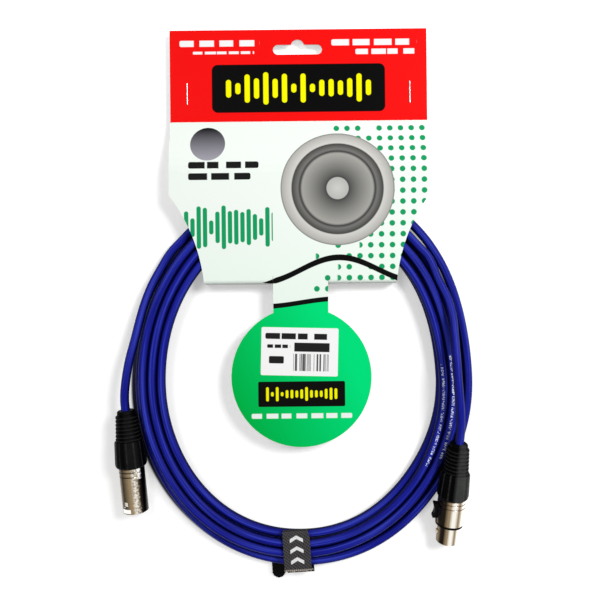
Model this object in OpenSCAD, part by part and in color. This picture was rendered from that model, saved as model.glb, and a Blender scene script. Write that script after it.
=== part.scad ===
/* [Cable] */
// Outside diameter of the jacket
cable_d = 6.5; // [5.5:0.1:7]
// Free room between two strands that lie side by side or on each other
strand_gap = 0.5; // [0.45:0.05:1.2]
// Radius of one insulated core inside the jacket
core_r = 0.75; // [0.5:0.05:0.8]

/* [Coil] */
// Half of the coil's width, to the middle of its outermost strand
coil_half_w = 129.7; // [122:0.1:138]
// Height of the coil above its widest level
coil_rise = 153.4; // [145:0.1:160]
// Depth of the coil below its widest level
coil_drop = 137.5; // [130:0.1:145]
// How much further apart the strands lie at the coil's upper right
top_spread = 2.5; // [0:0.1:4]
// How much fuller the coil is at its upper right, as a share of its size
shoulder = 0.045; // [0:0.005:0.06]
// Height of the lowest strands above the table
coil_lift = 1.3; // [1.2:0.1:3]
// Turn at which the spiral stops going in and comes out again
turn_back = 3.75; // [3.7:0.01:3.8]
// How far the upper layer leans in on the right side, in strands
upper_lean = 0.35; // [0:0.05:0.4]

/* [Header card] */
// Width of the card
card_w = 192.8; // [185:0.1:200]
// Length of the card from its fold to its top edge
card_l = 191; // [182:0.5:200]
// Width of the card at its fold
fold_w = 142; // [136:0.5:150]
// Radius of the sweep of each side
sweep_r = 127; // [120:1:150]
// Thickness of the board
board_t = 0.5; // [0.3:0.05:0.6]
// Turn of the card about its fold, in degrees
card_turn = 0.6; // [-1:0.1:1.5]
// Height at which the two panels are stapled together
staple_z = 6.2; // [4:0.1:8]
// Radius of the round tongue
disc_r = 51.6; // [45:0.1:54]
// Distance of the tongue's centre from the fold
disc_reach = 68.8; // [66:0.1:75]
// Width of the tongue's neck
neck_w = 40.5; // [30:0.5:50]
// Length of the hanging slot
slot_l = 36.8; // [30:0.1:42]
// Height of the hanging slot
slot_h = 7.4; // [6:0.1:9]
// Distance of the hanging slot from the top edge
slot_down = 15.1; // [13:0.1:20]
// Width of the label
label_w = 56.7; // [40:0.1:60]
// Height of the label
label_h = 35.4; // [20:0.1:38]
// Thickness of the label
label_t = 0.12; // [0.08:0.02:0.3]
// Length of a staple's crown
staple_l = 15.6; // [10:0.1:18]
// Radius of the staple wire
staple_r = 0.35; // [0.25:0.05:0.45]
// Distance of each staple from the card's side
staple_in = 12.9; // [8:0.1:20]

// Radius of the bump in the middle of the hanging slot
bump_r = 5; // [4:0.1:6]

/* [Tie] */
// Width of the hook and loop strap
tie_w = 20; // [16:0.5:25]
// Thickness of one lap of the strap
tie_t = 1; // [0.8:0.05:1.1]
// Extra thickness where two laps lie on each other
tie_lap = 0.8; // [0.5:0.05:1.2]
// Width of the strap's narrow end
tail_w = 10; // [6:0.5:14]
// How far the narrow end stands out past the coil
tail_out = 9.4; // [5:0.1:14]

/* [Connector shells] */
// Outside radius of the plug's shell
plug_r = 9.35; // [9.15:0.05:9.8]
// Radius of the plug's socket, into which the mate's nose goes
socket_r = 8.3; // [8.2:0.02:8.5]
// Depth of the plug's socket
socket_l = 12.4; // [11:0.1:14]
// Length of the plug's shell
plug_l = 33.8; // [32:0.1:36]
// Outside radius of the mate's nose
nose_r = 8.1; // [7.95:0.01:8.14]
// Length of the mate's nose
nose_l = 14.2; // [13:0.1:15]
// Outside radius of the mate's body
body_r = 10.2; // [10:0.05:10.6]
// Length of the mate's shell
mate_l = 36; // [35.5:0.1:38]
// Thickness of the black ring behind the nose
ring_t = 1.4; // [1:0.1:1.6]
// Bore of both shells, which holds the insert and takes the nut
bore_r = 7.55; // [7.4:0.01:7.7]
// Width of the cut rings round both shells
groove_w = 1; // [0.6:0.1:1.4]
// Depth of the cut rings
groove_d = 0.4; // [0.2:0.05:0.6]

/* [Contacts] */
// Radius of the circle that the contacts stand on
contact_ring = 4.76; // [4.6:0.02:4.9]
// Radius of a pin
pin_r = 1.2; // [1.1:0.01:1.25]
// Depth of a pin's tip below the shell's rim
pin_back = 2.2; // [1:0.1:4]
// Radius of a socket contact's bore
contact_bore = 1.25; // [1.21:0.01:1.3]
// Depth of a socket contact's bore
contact_deep = 10; // [8:0.1:11]
// Wall of a socket contact
contact_wall = 0.45; // [0.3:0.05:0.5]

/* [Nut and boot] */
// Largest radius of the grip nut
nut_r = 11.6; // [11:0.05:11.8]
// Radius of the grip nut at its back
nut_back_r = 10.5; // [9.8:0.05:10.8]
// Length of the grip nut's outside
nut_l = 19.8; // [18:0.1:21]
// Length of the nut's threaded neck
neck_l = 5.6; // [5:0.1:6]
// Radius of the boot's first rib, next to the nut
rib_r1 = 9.4; // [8.8:0.05:9.6]
// Radius of the boot's last rib
rib_r2 = 8; // [7:0.05:8.2]
// Length of the ribbed stretch
ribs_l = 19.2; // [17:0.1:20]
// Number of ribs
ribs = 7; // [5:1:9]
// Radius of the boot's end collar
collar_r = 6.6; // [5.6:0.05:6.8]
// Length of the boot's end collar
collar_l = 3; // [2:0.1:6]

/* [Latch] */
// Width of the latch button
latch_w = 4.8; // [4:0.1:5]
// Length of the latch button
button_l = 11.4; // [9:0.1:11.6]
// Height of the latch button above the mate's body
button_h = 3; // [1.5:0.1:3.4]
// Height of the hook above the nose
hook_h = 0.7; // [0.4:0.05:0.9]
// Radius of the latch's pivot pin
pivot_r = 0.6; // [0.4:0.02:0.65]

/* [Hidden] */
$fn = 64;

// Room between flat or round pieces that are pushed into each other
fit = 0.05;
// Room between pieces that run in each other
run = 0.1;
// Room between soft pieces and what they lie on
soft = 0.3;

// ---- the coil's path: two layers, spiralling in and out again ----
rings_per_turn = 24;
coil_sides = 6;
first_ring = 3;
last_ring = 153;
coil_x = 3.45;
coil_y = -61;
cable_r = cable_d / 2;
lane = cable_d + strand_gap;
climb_start = turn_back - 0.2;
// The strands give way to the plug's boot on one side and to the mate's nut on the other
plug_push = 0.25;
plug_push_at = 0.95;
plug_push_width = 0.14;
mate_push = 0.15;
mate_push_at = 0.6;
mate_push_width = 0.1;
shoulder_at = 0.365;
shoulder_width = 0.12;

function clamp(x) = max(0, min(1, x));
function ease(x) = clamp(x) * clamp(x) * (3 - 2 * clamp(x));
function part_of_turn(t) = t - floor(t);
function swell(t, at, width) =
    let (x = abs(part_of_turn(t - at + 0.5) - 0.5))
    x < width ? (1 + cos(180 * x / width)) / 2 : 0;
function layer(t) = ease((t - climb_start) * 2);
function spiral(t) = t < turn_back ? t : 2 * turn_back - t;
function lean_in(t) =
    layer(t) * (0.12 + (upper_lean - 0.12) * (1 + cos(180 - 360 * t)) / 2)
    + (1 - layer(t)) * 0.05 * (1 - cos(180 - 360 * t));
function strand(t) =
    spiral(t) + lean_in(t) + plug_push * swell(t, plug_push_at, plug_push_width)
    + (1 - layer(t)) * mate_push * swell(t, mate_push_at, mate_push_width);
function spread_at(a) = top_spread * (1 + cos(a)) / 2;
function coil_point(t) =
    let (a = 180 - 360 * t, u = strand(t), full = 1 + shoulder * swell(t, shoulder_at, shoulder_width))
    [coil_x + (coil_half_w - lane * u) * full * cos(a),
     coil_y + (sin(a) > 0 ? coil_rise - (lane + spread_at(a)) * u : coil_drop - lane * u) * full * sin(a),
     coil_lift + cable_r + lane * layer(t)];
coil_path = [for (i = [first_ring : last_ring]) coil_point(i / rings_per_turn)];
coil_top = coil_lift + cable_d + lane;

function unit(v) = v / norm(v);
function heading(path, i) =
    i == 0 ? unit(path[1] - path[0]) :
    i == len(path) - 1 ? unit(path[i] - path[i - 1]) :
    unit(unit(path[i] - path[i - 1]) + unit(path[i + 1] - path[i]));
function ring(at, along, r, sides, level) =
    let (side = unit(cross(along, level)), up = cross(side, along))
    [for (k = [0 : sides - 1])
        at + r * (side * cos(360 * k / sides + 90) + up * sin(360 * k / sides + 90))];

// A tube along a path, with one ring of points at each of the path's points
module tube(path, r, sides, level = [0, 0, 1]) {
    last = len(path) - 1;
    points = [for (i = [0 : last]) each ring(path[i], heading(path, i), r, sides, level)];
    walls = [for (i = [0 : last - 1], k = [0 : sides - 1])
        let (a = i * sides + k, b = i * sides + (k + 1) % sides)
        each [[a, b, a + sides], [b, b + sides, a + sides]]];
    caps = [for (k = [1 : sides - 2])
        each [[0, k + 1, k], [last * sides, last * sides + k, last * sides + k + 1]]];
    polyhedron(points, concat(walls, caps));
}

// The coil's least gap to itself, measured on points along its strands
steps = 4;
fine_path = [for (i = [0 : len(coil_path) - 2], k = [0 : steps - 1])
    coil_path[i] + (coil_path[i + 1] - coil_path[i]) * k / steps];
function gaps_from(i) =
    [for (turn = [1 : 6], near = [-8 : 8])
        let (j = i + turn * rings_per_turn * steps + near)
        if (j < len(fine_path)) norm(fine_path[j] - fine_path[i]) - cable_d];
function least_gap() = min([for (i = [0 : len(fine_path) - 1]) each gaps_from(i)]);

// ---- where the two connectors lie: tip, lean in plan and tilt down towards the nose ----
plug_lean = -4.75;
plug_tilt = 4;
plug_in = 7.25;
plug_down = 92.6;
plug_tip = [coil_x - coil_half_w + plug_in, coil_y - plug_down, plug_r * cos(plug_tilt)];
mate_lean = 4;
mate_tilt = 12;
mate_in = 20.3;
mate_down = 115.5;
mate_tip = [coil_x + coil_half_w - mate_in, coil_y - mate_down, nose_r * cos(mate_tilt)];

// In a connector's own frame Z runs from the nose to the back, Y is up and X is to the left
module lie(tip, lean, tilt) {
    translate(tip)
        rotate([0, 0, -lean])
            rotate([tilt - 90, 0, 0])
                rotate([0, 0, 180])
                    children();
}
module at_plug() {
    lie(plug_tip, plug_lean, plug_tilt) children();
}
module at_mate() {
    lie(mate_tip, mate_lean, mate_tilt) children();
}
function on_axis(tip, lean, tilt, s) =
    tip + s * [sin(lean) * cos(tilt), cos(lean) * cos(tilt), sin(tilt)];

// Lengths along a connector that both share, measured from the shell's back end
insert_back = 11.8;
cup_l = 4;
cable_in = 3.2;
collet_in = 2.8;
collet_l = 16;
flange_at = 15.6;
flange_t = 2.2;
boot_gap = 0.3;
rear_l = nut_l + ribs_l + collar_l + boot_gap;
straight_out = 9.5;

// ---- the free stretches from the coil's ends to the connectors ----
lead_sides = 8;
start_dir = unit(coil_path[1] - coil_path[0]);
end_dir = unit(coil_path[len(coil_path) - 1] - coil_path[len(coil_path) - 2]);
coil_end = coil_path[len(coil_path) - 1];
lead_straight = 7;
// Each point: percent of the coil's half width, percent of its rise, and height over its foot
function from_coil(p) =
    [coil_x + p[0] * coil_half_w / 100, coil_y + p[1] * coil_rise / 100, coil_lift + p[2]];
plug_route = [[-99, 4, 14], [-97.3, 13, 13], [-94.7, 22.2, 11.3], [-92.3, 31.3, 9.4],
              [-89.6, 40.1, 7.6], [-86, 48.6, 5.8], [-81.2, 56.6, 4.3]];
mate_route = [[79.2, 50.9, 11.4], [83.6, 42.6, 14], [85.7, 34.3, 17.3], [86.3, 26, 20.4],
              [86.6, 17, 23.3], [87, 8, 25.8], [87.6, -1, 27.3], [88.3, -9.8, 27.5]];
plug_lead_path = concat(
    [for (s = [0 : 3]) on_axis(plug_tip, plug_lean, plug_tilt,
        plug_l - cable_in + s * (rear_l + cable_in + straight_out) / 3)],
    [for (p = plug_route) from_coil(p)],
    [coil_path[0] - lead_straight * start_dir, coil_path[0]]);
mate_lead_path = concat(
    [coil_end, coil_end + lead_straight * end_dir],
    [for (p = mate_route) from_coil(p)],
    [for (s = [3 : -1 : 0]) on_axis(mate_tip, mate_lean, mate_tilt,
        mate_l - cable_in + s * (rear_l + cable_in + straight_out) / 3)]);

module cable_coil() {
    echo(least_gap_of_the_coil = least_gap());
    color([0.10, 0.10, 0.58])
        tube(coil_path, cable_r, coil_sides);
}
module plug_lead() {
    color([0.10, 0.10, 0.58])
        tube(plug_lead_path, cable_r, lead_sides);
}
module mate_lead() {
    color([0.10, 0.10, 0.58])
        tube(mate_lead_path, cable_r, lead_sides);
}

// ---- pieces of both connectors ----
// A closed ring or disc from a list of [radius, height] corners
module turned(profile) {
    rotate_extrude()
        polygon(profile);
}
module pipe(r_out, r_in, from, to) {
    translate([0, 0, from])
        difference() {
            cylinder(r = r_out, h = to - from);
            translate([0, 0, -1])
                cylinder(r = r_in, h = to - from + 2);
        }
}
module rod(a, b, r) {
    d = b - a;
    translate(a)
        rotate([0, acos(d[2] / norm(d)), atan2(d[1], d[0])])
            cylinder(r = r, h = norm(d), $fn = 24);
}
function contact_at(i, key) =
    let (a = key + [75, -75, 180][i - 1])
    contact_ring * [cos(a), sin(a), 0];

// The rings cut round a shell, near its back end
ring_offsets = [2, 5.4];
module cut_rings(r, shell_l) {
    for (back = ring_offsets)
        pipe(r + 1, r - groove_d, shell_l - back - groove_w, shell_l - back);
}

// An insulated core, from the cup of a contact to the cut end of the cable
module core(i, key, shell_l) {
    out = contact_at(i, key);
    inward = out * 1.6 / contact_ring;
    cup = shell_l - insert_back + cup_l;
    color([[0.75, 0.15, 0.1], [0.92, 0.92, 0.9], [0.75, 0.6, 0.35]][i - 1])
        tube([out + [0, 0, cup - 2], out + [0, 0, cup + 0.6],
              inward + [0, 0, shell_l - cable_in - 1.2], inward + [0, 0, shell_l - cable_in]],
             core_r, 12, [0, 1, 0]);
}

// The solder cup at the back of a contact
module solder_cup(shell_l) {
    cup_r = core_r + 0.7;
    translate([0, 0, shell_l - insert_back + fit])
        difference() {
            cylinder(r = cup_r, h = cup_l - fit, $fn = 32);
            translate([0, 0, 1])
                cylinder(r = core_r + run, h = cup_l, $fn = 32);
        }
}

// The clamping collet, whose slit fingers hold the jacket
module collet(shell_l) {
    front = shell_l - collet_in;
    grip_r = cable_r + fit;
    finger_r = grip_r + 1.1;
    color([0.88, 0.88, 0.85])
        difference() {
            turned([[grip_r, front], [6.1, front], [6.1, front + 2], [5.5, front + 2.4],
                    [5.5, front + 8], [finger_r, front + collet_l], [grip_r, front + collet_l]]);
            for (a = [0, 90])
                rotate([0, 0, a])
                    translate([-8, -0.4, front + 7])
                        cube([16, 0.8, collet_l]);
        }
}

// The faceted grip nut, whose neck screws into the shell
facets = 12;
thread_r = bore_r - run;
nut_hole = 5.6;
nut_cavity = 6.6;
module grip_nut(shell_l) {
    front = shell_l + fit;
    back = front + nut_l;
    flat_in = nut_r * (1 - cos(180 / facets));
    slope = atan((nut_r - nut_back_r) / nut_l);
    color([0.06, 0.065, 0.07])
        difference() {
            turned([[nut_cavity, front - neck_l], [thread_r - 0.4, front - neck_l],
                    [thread_r, front - neck_l + 0.4], [thread_r, front], [nut_r - 1.9, front],
                    [nut_r - 0.5, front + 1], [nut_r, front + 3], [nut_back_r + 0.1, back - 0.5],
                    [nut_back_r - 0.5, back], [nut_hole, back],
                    [nut_hole, shell_l + flange_at + flange_t + run], [nut_cavity, shell_l + flange_at + flange_t + run]]);
            for (i = [0 : facets - 1])
                rotate([0, 0, 360 * i / facets])
                    translate([nut_r - flat_in, -4, front + 3])
                        rotate([0, -slope, 0])
                            translate([0, 0, -6])
                                cube([3, 8, nut_l + 10]);
        }
}

// The ribbed boot: its flange is caught in the nut, and the cable runs through it
module ribbed_boot(shell_l) {
    flange = shell_l + flange_at;
    face = shell_l + nut_l + boot_gap;
    pitch = ribs_l / ribs;
    hole = cable_r + 0.35;
    rib_profile = [for (i = [0 : ribs - 1])
        let (r = rib_r1 + (rib_r2 - rib_r1) * i / (ribs - 1), s = face + i * pitch)
        each [[r - 0.35, s], [r, s + 0.35], [r, s + pitch * 0.6], [r - 0.35, s + pitch * 0.6 + 0.3],
              [r - 1.1, s + pitch * 0.72], [r - 1.1, s + pitch - 0.1]]];
    end = face + ribs_l;
    color([0.05, 0.05, 0.055])
        turned(concat(
            [[hole, flange], [nut_cavity - run, flange], [nut_cavity - run, flange + flange_t],
             [nut_hole - run, flange + flange_t], [nut_hole - run, face]],
            rib_profile,
            [[collar_r - 0.2, end], [collar_r, end + 1], [collar_r, end + collar_l - 0.8],
             [collar_r - 0.7, end + collar_l], [hole, end + collar_l]]));
}

// ---- the plug: shell with socket, insert and three pins ----
plug_key = 58;
window_s = 7.6;
window_w = 4;
window_l = 3.6;
insert_face = socket_l - 0.4;
pin_seat = pin_r + 0.2;
module plug_shell() {
    lip = 0.5;
    color([0.72, 0.69, 0.62])
        difference() {
            turned([[socket_r + lip, 0], [plug_r - lip, 0], [plug_r, lip], [plug_r, plug_l - 0.2],
                    [plug_r - 0.2, plug_l], [bore_r, plug_l], [bore_r, socket_l],
                    [socket_r, socket_l], [socket_r, lip]]);
            cut_rings(plug_r, plug_l);
            rotate([0, 0, plug_key])
                translate([socket_r - 2, -window_w / 2, window_s - window_l / 2])
                    cube([4, window_w, window_l]);
        }
}
module plug_insert() {
    color([0.08, 0.08, 0.08])
        difference() {
            translate([0, 0, insert_face])
                cylinder(r = bore_r - fit, h = plug_l - insert_back - insert_face);
            for (i = [1 : 3])
                translate(contact_at(i, plug_key))
                    cylinder(r = pin_seat + fit, h = plug_l);
        }
}
module plug_pin(i) {
    tip = 0.6;
    color([0.85, 0.83, 0.76])
        translate(contact_at(i, plug_key)) {
            turned([[0, pin_back], [pin_r - tip, pin_back], [pin_r, pin_back + tip],
                    [pin_r, insert_face - fit], [pin_seat, insert_face - fit],
                    [pin_seat, plug_l - insert_back + fit], [0, plug_l - insert_back + fit]]);
            solder_cup(plug_l);
        }
}

// ---- the mate: nose and body in one shell, ring, insert, contacts and latch ----
ring_back = nose_l + ring_t;
nose_wall = 0.9;
insert_r = nose_r - nose_wall - fit;
insert_front = 0.8;
step_s = ring_back + 1.4;
pivot_s = mate_l - 2;
boss_in = bore_r + 0.2;
pivot_x = boss_in + pivot_r + fit + 0.3;
pin_reach = sqrt(pow(body_r - groove_d, 2) - pow(pivot_x + pivot_r, 2)) - 0.1;
plate_in = 8.2;
plate_out = 9.6;
rear_w = latch_w - 1;
ear_s = pivot_s - 1.2;
button_ahead = 2;
button_s = ear_s - soft - button_ahead - button_l;
hook_s = 6.6;
hook_l = 2.2;
arm_out = insert_r - 0.45;
arm_in = arm_out - 1.3;
arm_w = latch_w - 1.2;
press = 3.5;
arm_dip = (pivot_s - hook_s) * sin(press) + 0.35;
plate_dip = (pivot_s - step_s) * sin(press) + 0.25;

// A block from the shell's middle line outwards, on the latch's side
module block(x0, x1, width, s0, s1) {
    translate([x0, -width / 2, s0])
        cube([x1 - x0, width, s1 - s0]);
}
module mate_shell() {
    color([0.74, 0.70, 0.62])
        difference() {
            turned([[nose_r - nose_wall, 0.3], [nose_r - nose_wall + 0.3, 0], [nose_r - 0.4, 0],
                    [nose_r, 0.4], [nose_r, ring_back], [body_r - 0.5, ring_back],
                    [body_r, ring_back + 0.5], [body_r, mate_l - 0.3], [body_r - 0.3, mate_l],
                    [bore_r, mate_l], [bore_r, step_s], [nose_r - nose_wall, step_s]]);
            cut_rings(body_r, mate_l);
            block(bore_r - 2, body_r + 1, latch_w + 2 * soft, ring_back + 0.6, ear_s);
            block(bore_r - 2, body_r + 1, rear_w + 2 * soft, ear_s - 1, mate_l - 0.5);
            block(insert_r - 2, nose_r + 1, arm_w + 2 * soft, hook_s - 0.6, hook_s + hook_l + 0.6);
            pivot_hole(pin_reach + fit);
        }
}
module pivot_hole(reach) {
    translate([pivot_x, 0, pivot_s])
        rotate([90, 0, 0])
            cylinder(r = pivot_r + fit, h = 2 * reach, center = true);
}
module mate_ring() {
    color([0.04, 0.04, 0.045])
        pipe(body_r - 0.2, nose_r + fit, nose_l, ring_back);
}
module mate_insert() {
    back = mate_l - insert_back;
    color([0.08, 0.08, 0.08])
        difference() {
            union() {
                translate([0, 0, insert_front])
                    cylinder(r = insert_r, h = step_s - insert_front);
                translate([0, 0, step_s])
                    cylinder(r = bore_r - fit, h = back - step_s);
            }
            for (i = [1 : 3])
                translate(contact_at(i, 0)) {
                    translate([0, 0, -1])
                        cylinder(r = contact_bore, h = 5);
                    translate([0, 0, insert_front + 1.2])
                        cylinder(r = contact_bore + contact_wall + fit, h = mate_l);
                }
            block(arm_in - arm_dip, 12, arm_w + 2 * soft, hook_s - 1, step_s + 3);
            block(plate_in - plate_dip, 12, latch_w + 2 * soft, ring_back + 0.6, back + 1);
        }
}
module mate_contact(i) {
    front = insert_front + 1.2 + fit;
    back = mate_l - insert_back;
    color([0.85, 0.8, 0.6])
        translate(contact_at(i, 0)) {
            turned([[contact_bore, front], [contact_bore + contact_wall, front],
                    [contact_bore + contact_wall, back + fit], [0, back + fit],
                    [0, front + contact_deep], [contact_bore, front + contact_deep]]);
            solder_cup(mate_l);
        }
}
module latch() {
    saddle_r = 9;
    saddle_d = 1.1;
    top = body_r + button_h;
    color([0.05, 0.05, 0.055])
        difference() {
            union() {
                block(plate_in, plate_out, latch_w, step_s - 0.2, ear_s - soft);
                block(plate_in, plate_out, rear_w, ear_s - 1, pivot_s + 1.1);
                block(boss_in, plate_out, rear_w, pivot_s - 1.1, pivot_s + 1.1);
                block(plate_out - 0.1, top, latch_w, button_s, button_s + button_l);
                block(arm_in, plate_out, arm_w, step_s - 0.2, step_s + 1.6);
                block(arm_in, arm_out, arm_w, hook_s, step_s);
                difference() {
                    block(arm_out - 0.1, nose_r + hook_h, arm_w, hook_s, hook_s + hook_l);
                    translate([nose_r - 0.2, 0, hook_s])
                        rotate([0, 30, 0])
                            translate([0, -5, -4])
                                cube([4, 10, 4]);
                }
            }
            translate([top + saddle_r - saddle_d, 0, button_s + button_l / 2])
                rotate([90, 0, 0])
                    cylinder(r = saddle_r, h = 12, center = true);
            pivot_hole(latch_w);
        }
}
module latch_pin() {
    color([0.7, 0.7, 0.7])
        translate([pivot_x, 0, pivot_s])
            rotate([90, 0, 0])
                cylinder(r = pivot_r, h = 2 * pin_reach, center = true);
}
module latch_spring() {
    floor_x = plate_in - plate_dip + fit;
    strip = 0.2;
    sag = plate_in - fit - floor_x - strip;
    half = 2.6;
    bow_r = (half * half + sag * sag) / (2 * sag);
    spread = asin(half / bow_r);
    mid = (step_s + 2 + mate_l - insert_back) / 2;
    color([0.8, 0.8, 0.82])
        translate([plate_in - fit - bow_r, 0, mid])
            rotate([90, 0, 0])
                translate([0, 0, -1.6])
                    linear_extrude(3.2)
                        polygon(concat(
                            [for (a = [-spread : spread / 8 : spread + 0.01])
                                bow_r * [cos(a), sin(a)]],
                            [for (a = [spread : -spread / 8 : -spread - 0.01])
                                (bow_r - strip) * [cos(a), sin(a)]]));
}

// ---- the header card: one folded board with a tongue cut out of its back panel ----
fold_y = coil_y + 76.4;
fold_x = 3.6;
front_z = coil_top + soft;
fold_r = 3;
sweep_a0 = 5;
sweep_a1 = acos(cos(sweep_a0) - (card_w - fold_w) / 2 / sweep_r);
panel_gap = 0.15;
cut = 0.2;
neck_root = 6;
hole_v = disc_reach - front_z - board_t;
slot_v = card_l - slot_down;
staple_v = card_l - 55.5;
staple_out = card_w / 2 - staple_in;
slope_start = coil_y + coil_rise + cable_r + 2.5 - fold_y;
slope_end = staple_v - 8.75;
label_aside = -1.2;
label_up = 18.6;

module at_card() {
    translate([fold_x, fold_y, 0])
        rotate([0, 0, card_turn])
            children();
}
// The two panels as seen from the side, in [along the card, height]
function ramp(v, low, high) = low + (high - low) * ease((v - slope_start) / (slope_end - slope_start));
ramp_steps = [for (i = [0 : 8]) slope_start + (slope_end - slope_start) * i / 8];
function arc(cx, cz, r, a0, a1) = [for (i = [0 : 6]) let (a = a0 + (a1 - a0) * i / 6) [cx + r * cos(a), cz + r * sin(a)]];
staple_front = staple_z - board_t;
staple_back = staple_front - panel_gap - board_t;
module panels_profile() {
    top = front_z + board_t;
    polygon(concat(
        [[card_l, staple_z]],
        [for (i = [8 : -1 : 0]) [ramp_steps[i], ramp(ramp_steps[i], top, staple_z)]],
        arc(fold_r, top - fold_r, fold_r, 90, 180),
        arc(fold_r, fold_r, fold_r, 180, 270),
        [for (v = ramp_steps) [v, ramp(v, 0, staple_back)]],
        [[card_l, staple_back], [card_l, staple_back + board_t]],
        [for (i = [8 : -1 : 0]) [ramp_steps[i], ramp(ramp_steps[i], board_t, staple_back + board_t)]],
        arc(fold_r, fold_r, fold_r - board_t, 270, 180),
        arc(fold_r, top - fold_r, fold_r - board_t, 180, 90),
        [for (v = ramp_steps) [v, ramp(v, front_z, staple_front)]],
        [[card_l, staple_front]]));
}
module card_outline() {
    side = [for (i = [0 : 10])
        let (a = sweep_a0 + (sweep_a1 - sweep_a0) * i / 10)
        [fold_w / 2 + sweep_r * (cos(sweep_a0) - cos(a)), sweep_r * (sin(a) - sin(sweep_a0))]];
    polygon(concat(
        [[fold_w / 2, -1]], side, [[card_w / 2, card_l + 1], [-card_w / 2, card_l + 1]],
        [for (i = [10 : -1 : 0]) [-side[i][0], side[i][1]]], [[-fold_w / 2, -1]]));
}
module hang_slot() {
    half = slot_l / 2 - slot_h / 2;
    translate([-0.5, slot_v]) {
        square([2 * half, slot_h], center = true);
        for (x = [-half, half])
            translate([x, 0])
                circle(r = slot_h / 2);
        translate([0, slot_h / 2 - 1.2])
            circle(r = bump_r);
    }
}
module tongue() {
    translate([0, -disc_reach])
        circle(r = disc_r, $fn = 128);
    translate([-neck_w / 2, -disc_reach])
        square([neck_w, disc_reach + neck_root + 1]);
}
module header_card() {
    color([0.85, 0.97, 0.88])
        at_card() {
            difference() {
                intersection() {
                    translate([-card_w / 2 - 1, 0, 0])
                        rotate([90, 0, 90])
                            linear_extrude(card_w + 2)
                                panels_profile();
                    translate([0, 0, -1])
                        linear_extrude(front_z + 5)
                            card_outline();
                }
                translate([-neck_w / 2 - cut, -1, -1])
                    cube([neck_w + 2 * cut, neck_root + 1, front_z + 5]);
                translate([0, hole_v, -1])
                    cylinder(r = disc_r + cut, h = staple_back + board_t + 1, $fn = 128);
                translate([0, 0, -1])
                    linear_extrude(staple_z + 5)
                        hang_slot();
                for (x = [-staple_out, staple_out], y = [0, staple_l])
                    translate([x, staple_v + y, 0])
                        cylinder(r = staple_r + fit, h = staple_z + 5, $fn = 24);
            }
            translate([0, 0, front_z])
                linear_extrude(board_t)
                    tongue();
        }
}
module card_label() {
    corner = 1.2;
    color([0.98, 0.98, 0.98])
        at_card()
            translate([label_aside, label_up - disc_reach, front_z + board_t])
                rotate([0, 0, -1.7])
                    linear_extrude(label_t) {
                        square([label_w - 2 * corner, label_h], center = true);
                        square([label_w, label_h - 2 * corner], center = true);
                        for (x = [-1, 1], y = [-1, 1])
                            translate([x * (label_w / 2 - corner), y * (label_h / 2 - corner)])
                                circle(r = corner, $fn = 32);
                    }
}
module staple(x) {
    top = staple_z + staple_r;
    low = staple_back - staple_r - fit;
    fold_in = staple_l / 3;
    corners = [[0, fold_in, low], [0, 0, low], [0, 0, top], [0, staple_l, top],
               [0, staple_l, low], [0, staple_l - fold_in, low]];
    color([0.7, 0.7, 0.72])
        at_card()
            translate([x, staple_v, 0]) {
                for (i = [0 : 4])
                    rod(corners[i], corners[i + 1], staple_r);
                for (i = [1 : 4])
                    translate(corners[i])
                        sphere(r = staple_r, $fn = 24);
            }
}

// ---- the hook and loop tie round the bottom of the coil ----
tie_x = 1;
tie_turn = 3.5;
bundle_out = coil_drop - 0.75 * lane + cable_r;
bundle_in = coil_drop - 3.87 * lane - cable_r;
loop_out = bundle_out + 0.6;
loop_in = bundle_in - 2.6;
module at_tie() {
    translate([coil_x, coil_y, 0])
        rotate([0, 0, tie_turn])
            translate([tie_x - coil_x - (loop_out + loop_in) / 2 * sin(tie_turn), 0, 0])
                children();
}
// A box with rounded corners along X, from its corners in Y and Z
module soft_box(width, y0, y1, z0, z1, r) {
    translate([-width / 2, 0, 0])
        rotate([90, 0, 90])
            linear_extrude(width) {
                translate([y0 + r, z0])
                    square([y1 - y0 - 2 * r, z1 - z0]);
                translate([y0, z0 + r])
                    square([y1 - y0, z1 - z0 - 2 * r]);
                for (y = [y0 + r, y1 - r], z = [z0 + r, z1 - r])
                    translate([y, z])
                        circle(r = r, $fn = 32);
            }
}
module tie_strap() {
    color([0.16, 0.16, 0.17])
        at_tie()
            difference() {
                soft_box(tie_w, -loop_out - tie_t, -loop_in + tie_t, 0, coil_top + soft + tie_t + tie_lap, 4);
                soft_box(tie_w + 2, -loop_out, -loop_in, tie_t, coil_top + soft, 3);
            }
}
module tie_tail() {
    tip = -bundle_out - tail_out + tail_w / 2;
    color([0.05, 0.05, 0.05])
        at_tie()
            translate([-tie_w / 2 - tail_w / 2, 0, 0])
                linear_extrude(tie_t) {
                    translate([-tail_w / 2, tip])
                        square([tail_w, -loop_in - tip]);
                    translate([0, tip])
                        circle(r = tail_w / 2);
                }
}

cable_coil();
plug_lead();
mate_lead();
at_plug() plug_shell();
at_plug() plug_insert();
at_plug() plug_pin(1);  // plug_pin_1
at_plug() plug_pin(2);  // plug_pin_2
at_plug() plug_pin(3);  // plug_pin_3
at_plug() core(1, plug_key, plug_l);  // plug_core_1
at_plug() core(2, plug_key, plug_l);  // plug_core_2
at_plug() core(3, plug_key, plug_l);  // plug_core_3
at_plug() collet(plug_l);  // plug_collet
at_plug() grip_nut(plug_l);  // plug_nut
at_plug() ribbed_boot(plug_l);  // plug_boot
at_mate() mate_shell();
at_mate() mate_ring();
at_mate() mate_insert();
at_mate() mate_contact(1);  // mate_contact_1
at_mate() mate_contact(2);  // mate_contact_2
at_mate() mate_contact(3);  // mate_contact_3
at_mate() core(1, 0, mate_l);  // mate_core_1
at_mate() core(2, 0, mate_l);  // mate_core_2
at_mate() core(3, 0, mate_l);  // mate_core_3
at_mate() collet(mate_l);  // mate_collet
at_mate() grip_nut(mate_l);  // mate_nut
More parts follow.
